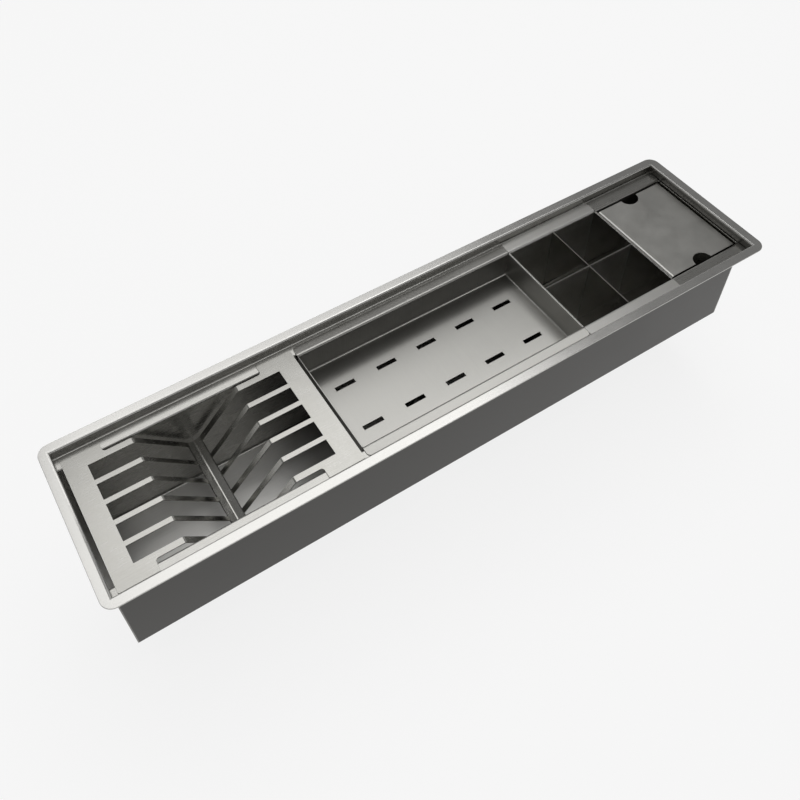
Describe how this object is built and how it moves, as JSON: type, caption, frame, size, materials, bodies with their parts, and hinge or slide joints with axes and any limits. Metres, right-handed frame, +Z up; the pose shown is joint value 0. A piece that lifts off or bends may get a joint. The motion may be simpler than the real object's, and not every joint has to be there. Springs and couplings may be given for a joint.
{
  "type": "recessed wet trough",
  "caption": "Long stepped steel channel sink that drops into a worktop, with a dish rack, a drain tray, a divided cutlery box and a lidded waste bin hanging on its ledges.",
  "frame": {"origin": "middle of the rim, on the plane of the worktop that the rim's underside rests on", "axes": "+X along the trough from the rack to the bin, +Y to the back, +Z up out of the worktop"},
  "size_m": [1, 0.237, 0.2783],
  "materials": {
    "trough_steel": "fine lengthwise satin grain",
    "rack_steel": "fine satin grain",
    "tray_steel": "fine lengthwise satin grain",
    "box_steel": "fine satin grain",
    "lid_steel": "fine satin grain",
    "strainer_steel": "satin",
    "gasket_rubber": "matte black",
    "washer_plastic": "milky white",
    "nut_metal": "dull cast metal",
    "tail_chrome": "bright"
  },
  "bodies": {
    "trough": {"rim_flange": "trough_steel", "channel_shell": "trough_steel", "left_end_panel": "trough_steel", "right_end_panel": "trough_steel", "strainer_body": "strainer_steel", "strainer_gasket": "gasket_rubber", "friction_washer": "washer_plastic", "lock_nut": "nut_metal", "tailpiece_washer": "washer_plastic", "coupling_nut": "tail_chrome", "tailpiece": "tail_chrome"},
    "dish_rack": {"rack_left_comb": "rack_steel", "rack_spine": "rack_steel", "rack_right_comb": "rack_steel"},
    "drain_tray": {"drain_tray": "tray_steel"},
    "cutlery_box": {"cutlery_box": "box_steel", "lengthwise_divider": "box_steel", "crosswise_divider": "box_steel"},
    "waste_bin": {"waste_bin": "box_steel"},
    "bin_lid": {"bin_lid": "lid_steel"},
    "basket": {"strainer_basket": "strainer_steel", "basket_post": "strainer_steel", "basket_seal": "gasket_rubber"}
  },
  "joints": [
    {"name": "rack_lift", "type": "slide", "parent": "trough", "child": "dish_rack", "axis": [0, 0, 1], "range_m": [0, 0.12]},
    {"name": "tray_lift", "type": "slide", "parent": "trough", "child": "drain_tray", "axis": [0, 0, 1], "range_m": [0, 0.1]},
    {"name": "box_lift", "type": "slide", "parent": "trough", "child": "cutlery_box", "axis": [0, 0, 1], "range_m": [0, 0.17]},
    {"name": "bin_lift", "type": "slide", "parent": "trough", "child": "waste_bin", "axis": [0, 0, 1], "range_m": [0, 0.19]},
    {"name": "lid_lift", "type": "slide", "parent": "waste_bin", "child": "bin_lid", "axis": [0, 0, 1], "range_m": [0, 0.08]},
    {"name": "basket_lift", "type": "slide", "parent": "trough", "child": "basket", "axis": [0, 0, 1], "range_m": [0, 0.06]}
  ]
}
